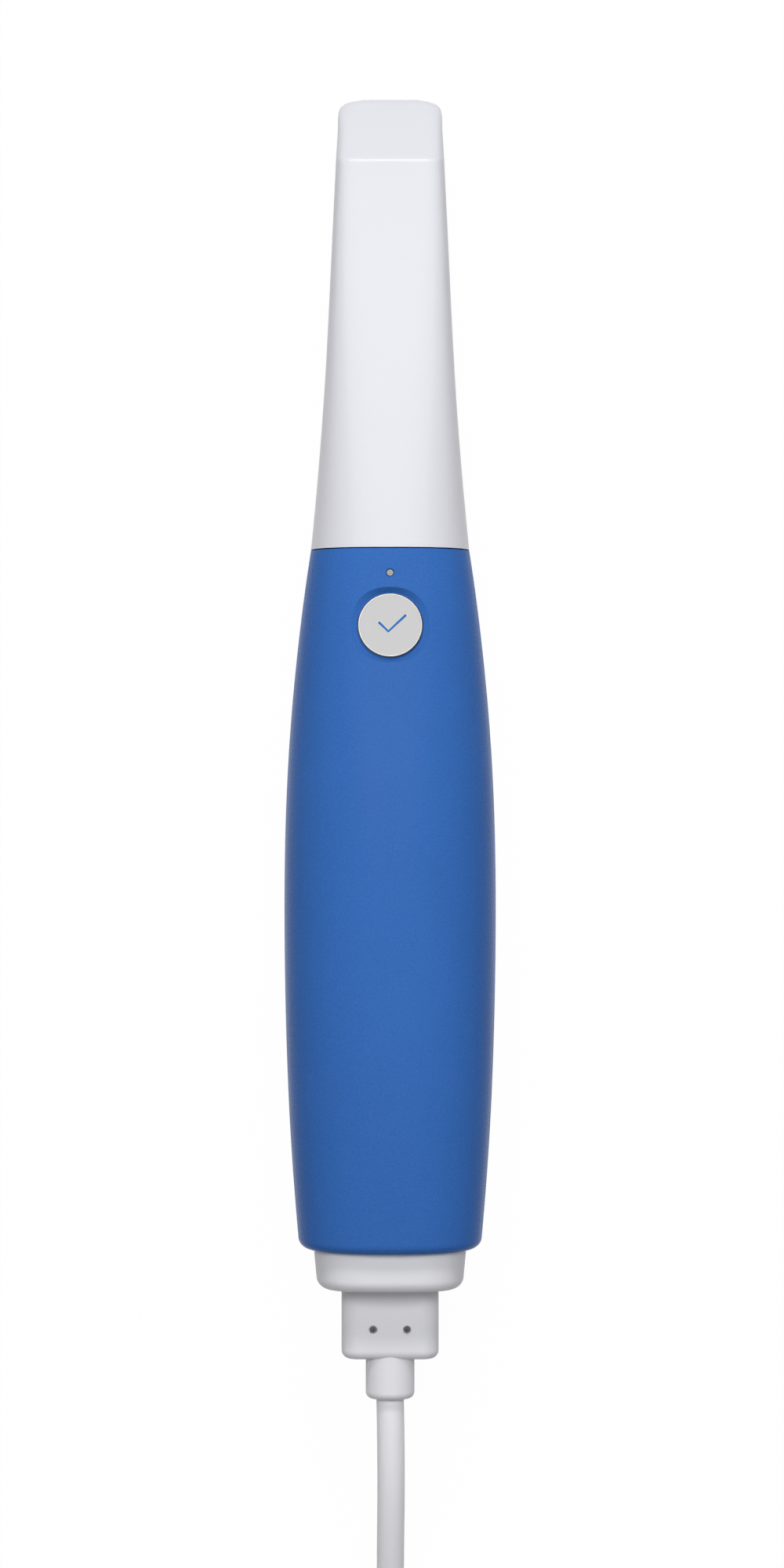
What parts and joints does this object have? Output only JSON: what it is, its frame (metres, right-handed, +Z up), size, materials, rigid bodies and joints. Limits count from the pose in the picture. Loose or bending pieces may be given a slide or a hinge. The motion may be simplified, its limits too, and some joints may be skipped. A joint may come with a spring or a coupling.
{
  "type": "intraoral scanner",
  "caption": "Handheld dental scanner: a blue moulded handpiece with a round button, a white sleeve tip with an angled mirror over its window, and a grey cable with a plug.",
  "frame": {"origin": "on the flat of the belly that the scanner rests on, halfway between the end of the tip and the end of the cable's strain relief", "axes": "+Y along the scanner's axis towards the tip, +X to the right seen from above with the tip away from the viewer, +Z up through the button's side"},
  "size_m": [0.0538, 0.5451, 0.0474],
  "materials": {
    "blue_plastic": "fine matte texture",
    "white_plastic": "satin",
    "grey_plastic": "satin",
    "dark_plastic": "matte",
    "black_plastic": "matte",
    "mirror_glass": "polished",
    "clear_glass": "polished",
    "clear_plastic": "gloss",
    "black_rubber": "matte",
    "button_metal": "satin silver",
    "board_green": "satin",
    "frame_aluminium": "machined",
    "black_aluminium": "anodised",
    "lens_black": "anodised",
    "screw_steel": "dark",
    "contact_brass": "plated",
    "plug_steel": "satin",
    "cable_grey": "satin",
    "tie_black": "woven"
  },
  "bodies": {
    "handpiece": {"top_cover": "blue_plastic", "bottom_cover": "blue_plastic", "nose": "dark_plastic", "nose_window": "clear_glass", "seam_seal": "black_rubber", "button_membrane": "black_rubber", "tact_switch": "black_plastic", "button_board": "board_green", "light_guide": "clear_plastic", "chassis": "frame_aluminium", "chassis_screws": "screw_steel", "optics_block": "black_aluminium", "camera_lens_left": "lens_black", "camera_lens_right": "lens_black", "projector_lens": "lens_black", "camera_board": "board_green", "light_engine": "dark_plastic", "heat_sink": "frame_aluminium", "main_board": "board_green", "tail_cap": "grey_plastic", "tail_socket": "dark_plastic", "socket_contacts": "contact_brass", "cable_connector": "grey_plastic", "set_screws": "screw_steel", "cable_lead": "cable_grey", "cable_hank": "cable_grey", "hank_tie": "tie_black", "cable_tail": "cable_grey", "plug_body": "black_plastic", "plug_shell": "plug_steel"},
    "button": {"button_cap": "button_metal"},
    "tip": {"tip_shell": "white_plastic", "tip_mirror": "mirror_glass"}
  },
  "joints": [
    {"name": "button_press", "type": "slide", "parent": "handpiece", "child": "button", "axis": [0, -0.1518, -0.9884], "range_m": [0, 0.0006], "stiffness_N_per_m": 1500},
    {"name": "tip_pull", "type": "slide", "parent": "handpiece", "child": "tip", "axis": [0, 1, 0], "range_m": [0, 0.04]}
  ]
}
